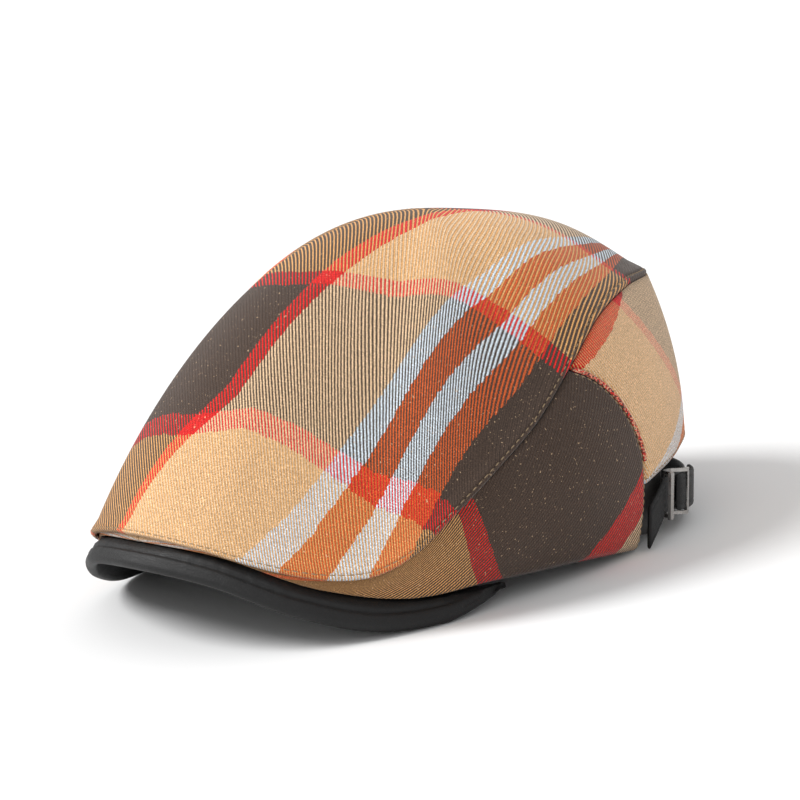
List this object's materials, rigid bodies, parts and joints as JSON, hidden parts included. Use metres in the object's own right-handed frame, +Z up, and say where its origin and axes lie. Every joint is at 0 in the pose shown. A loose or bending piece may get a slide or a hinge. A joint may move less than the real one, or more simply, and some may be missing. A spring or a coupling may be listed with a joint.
{
  "type": "flat cap",
  "caption": "Flat cap of plaid twill with a one-piece top, an arched leather-covered visor and a leather back strap that adjusts through a metal slide.",
  "frame": {"origin": "centre of the bounding box in plan, on the surface the cap stands on", "axes": "+Z up, -Y towards the front of the visor, +X towards the wearer's left"},
  "size_m": [0.1798, 0.243, 0.1216],
  "materials": {
    "plaid_twill": "woven plaid twill",
    "lining": "satin lining",
    "black_leather": "fine grain, low sheen",
    "dark_leather": "matt facing",
    "visor_board": "plain stiffener board",
    "label": "blank woven label",
    "gunmetal": "satin nickel grey"
  },
  "bodies": {
    "cap": {"top_panel": "plaid_twill", "side_panel_left": "plaid_twill", "side_panel_right": "plaid_twill", "back_panel": "plaid_twill", "lining_top": "lining", "lining_side_left": "lining", "lining_side_right": "lining", "lining_back": "lining", "sweatband": "dark_leather", "rear_facing_left": "dark_leather", "rear_facing_right": "dark_leather", "size_label": "label", "visor_board": "visor_board", "visor_cover_top": "black_leather", "visor_cover_bottom": "black_leather", "visor_piping": "black_leather", "strap_long": "black_leather", "strap_root_left": "black_leather"},
    "slide": {"slide_buckle": "gunmetal", "strap_fold": "black_leather"}
  },
  "joints": [
    {"name": "slide_along_strap", "type": "hinge", "parent": "cap", "child": "slide", "pos_m": [0, 0.02738, 0.01287], "axis": [0, 0.1538, 0.9881], "range_deg": [0, 11]}
  ]
}
